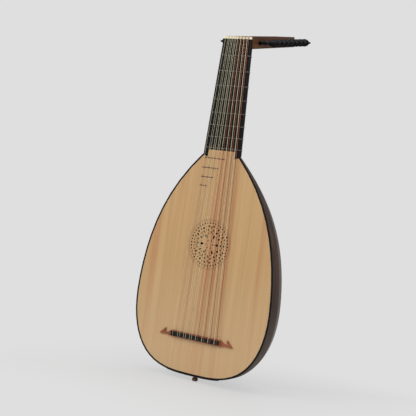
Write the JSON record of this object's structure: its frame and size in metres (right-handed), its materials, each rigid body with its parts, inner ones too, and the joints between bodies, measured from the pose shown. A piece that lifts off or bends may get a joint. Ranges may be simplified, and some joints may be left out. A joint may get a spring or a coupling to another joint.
{
  "type": "renaissance lute",
  "caption": "Renaissance lute with a ribbed bowl, pierced rose, bent-back pegbox with turning pegs, tied gut frets that slide, and string courses in pairs.",
  "frame": {"origin": "centre of the end pin's flat bottom face", "axes": "+Z along the strings towards the nut and pegbox, -Y out of the soundboard's front, +X to the right of a viewer who faces the soundboard"},
  "size_m": [0.324, 0.1949, 0.7359],
  "materials": {
    "spruce": "satin varnish, straight grain",
    "black_edging": "black stained, satin",
    "rib_walnut": "dark glossy varnish",
    "block_wood": "bare",
    "ebony": "polished",
    "bone": "polished bone",
    "pegbox_walnut": "satin varnish",
    "bridge_pearwood": "satin, reddish stain",
    "peg_ebony": "polished",
    "pin_wood": "satin varnish",
    "gut": "plain gut",
    "copper_wound": "copper winding",
    "fret_gut": "plain gut"
  },
  "bodies": {
    "lute": {"rib_1": "rib_walnut", "rib_2": "rib_walnut", "rib_3": "rib_walnut", "rib_4": "rib_walnut", "rib_5": "rib_walnut", "rib_6": "rib_walnut", "rib_7": "rib_walnut", "rib_8": "rib_walnut", "rib_9": "rib_walnut", "end_clasp": "rib_walnut", "soundboard": "spruce", "soundboard_edging": "black_edging", "neck_block": "block_wood", "neck": "ebony", "fingerboard": "ebony", "nut": "bone", "pegbox_cheek_left": "pegbox_walnut", "pegbox_cheek_right": "pegbox_walnut", "pegbox_back": "pegbox_walnut", "bridge": "bridge_pearwood", "bridge_cap": "ebony", "end_pin": "pin_wood", "string_1": "gut", "string_2_a": "gut", "string_2_b": "gut", "string_3_a": "gut", "string_3_b": "gut", "string_4_a": "gut", "string_4_b": "gut", "string_5_a": "gut", "string_5_b": "copper_wound", "string_6_a": "gut", "string_6_b": "copper_wound", "string_7_a": "gut", "string_7_b": "copper_wound", "string_8_a": "gut", "string_8_b": "copper_wound"},
    "peg_right_1": {"peg_right_1": "peg_ebony"},
    "peg_right_2": {"peg_right_2": "peg_ebony"},
    "peg_right_3": {"peg_right_3": "peg_ebony"},
    "peg_right_4": {"peg_right_4": "peg_ebony"},
    "peg_right_5": {"peg_right_5": "peg_ebony"},
    "peg_right_6": {"peg_right_6": "peg_ebony"},
    "peg_right_7": {"peg_right_7": "peg_ebony"},
    "peg_right_8": {"peg_right_8": "peg_ebony"},
    "peg_left_1": {"peg_left_1": "peg_ebony"},
    "peg_left_2": {"peg_left_2": "peg_ebony"},
    "peg_left_3": {"peg_left_3": "peg_ebony"},
    "peg_left_4": {"peg_left_4": "peg_ebony"},
    "peg_left_5": {"peg_left_5": "peg_ebony"},
    "peg_left_6": {"peg_left_6": "peg_ebony"},
    "peg_left_7": {"peg_left_7": "peg_ebony"},
    "fret_1": {"fret_1": "fret_gut"},
    "fret_2": {"fret_2": "fret_gut"},
    "fret_3": {"fret_3": "fret_gut"},
    "fret_4": {"fret_4": "fret_gut"},
    "fret_5": {"fret_5": "fret_gut"},
    "fret_6": {"fret_6": "fret_gut"},
    "fret_7": {"fret_7": "fret_gut"},
    "fret_8": {"fret_8": "fret_gut"}
  },
  "joints": [
    {"name": "peg_right_1_turn", "type": "hinge", "parent": "lute", "child": "peg_right_1", "pos_m": [0.03192, 0.01675, 0.69393], "axis": [1, 0, 0], "continuous": true},
    {"name": "peg_right_2_turn", "type": "hinge", "parent": "lute", "child": "peg_right_2", "pos_m": [0.03089, 0.03535, 0.6978], "axis": [1, 0, 0], "continuous": true},
    {"name": "peg_right_3_turn", "type": "hinge", "parent": "lute", "child": "peg_right_3", "pos_m": [0.02986, 0.05395, 0.70166], "axis": [1, 0, 0], "continuous": true},
    {"name": "peg_right_4_turn", "type": "hinge", "parent": "lute", "child": "peg_right_4", "pos_m": [0.02883, 0.07256, 0.70553], "axis": [1, 0, 0], "continuous": true},
    {"name": "peg_right_5_turn", "type": "hinge", "parent": "lute", "child": "peg_right_5", "pos_m": [0.02779, 0.09116, 0.70939], "axis": [1, 0, 0], "continuous": true},
    {"name": "peg_right_6_turn", "type": "hinge", "parent": "lute", "child": "peg_right_6", "pos_m": [0.02676, 0.10976, 0.71326], "axis": [1, 0, 0], "continuous": true},
    {"name": "peg_right_7_turn", "type": "hinge", "parent": "lute", "child": "peg_right_7", "pos_m": [0.02573, 0.12837, 0.71712], "axis": [1, 0, 0], "continuous": true},
    {"name": "peg_right_8_turn", "type": "hinge", "parent": "lute", "child": "peg_right_8", "pos_m": [0.0247, 0.14697, 0.72098], "axis": [1, 0, 0], "continuous": true},
    {"name": "peg_left_1_turn", "type": "hinge", "parent": "lute", "child": "peg_left_1", "pos_m": [-0.03037, 0.04465, 0.69973], "axis": [1, 0, 0], "continuous": true},
    {"name": "peg_left_2_turn", "type": "hinge", "parent": "lute", "child": "peg_left_2", "pos_m": [-0.02934, 0.06325, 0.70359], "axis": [1, 0, 0], "continuous": true},
    {"name": "peg_left_3_turn", "type": "hinge", "parent": "lute", "child": "peg_left_3", "pos_m": [-0.02831, 0.08186, 0.70746], "axis": [1, 0, 0], "continuous": true},
    {"name": "peg_left_4_turn", "type": "hinge", "parent": "lute", "child": "peg_left_4", "pos_m": [-0.02728, 0.10046, 0.71132], "axis": [1, 0, 0], "continuous": true},
    {"name": "peg_left_5_turn", "type": "hinge", "parent": "lute", "child": "peg_left_5", "pos_m": [-0.02624, 0.11906, 0.71519], "axis": [1, 0, 0], "continuous": true},
    {"name": "peg_left_6_turn", "type": "hinge", "parent": "lute", "child": "peg_left_6", "pos_m": [-0.02521, 0.13767, 0.71905], "axis": [1, 0, 0], "continuous": true},
    {"name": "peg_left_7_turn", "type": "hinge", "parent": "lute", "child": "peg_left_7", "pos_m": [-0.02418, 0.15627, 0.72292], "axis": [1, 0, 0], "continuous": true},
    {"name": "fret_1_slide", "type": "slide", "parent": "lute", "child": "fret_1", "axis": [0, 0, 1], "range_m": [-0.003, 0.003]},
    {"name": "fret_2_slide", "type": "slide", "parent": "lute", "child": "fret_2", "axis": [0, 0, 1], "range_m": [-0.003, 0.003]},
    {"name": "fret_3_slide", "type": "slide", "parent": "lute", "child": "fret_3", "axis": [0, 0, 1], "range_m": [-0.003, 0.003]},
    {"name": "fret_4_slide", "type": "slide", "parent": "lute", "child": "fret_4", "axis": [0, 0, 1], "range_m": [-0.003, 0.003]},
    {"name": "fret_5_slide", "type": "slide", "parent": "lute", "child": "fret_5", "axis": [0, 0, 1], "range_m": [-0.003, 0.003]},
    {"name": "fret_6_slide", "type": "slide", "parent": "lute", "child": "fret_6", "axis": [0, 0, 1], "range_m": [-0.003, 0.003]},
    {"name": "fret_7_slide", "type": "slide", "parent": "lute", "child": "fret_7", "axis": [0, 0, 1], "range_m": [-0.003, 0.003]},
    {"name": "fret_8_slide", "type": "slide", "parent": "lute", "child": "fret_8", "axis": [0, 0, 1], "range_m": [-0.003, 0.003]}
  ]
}
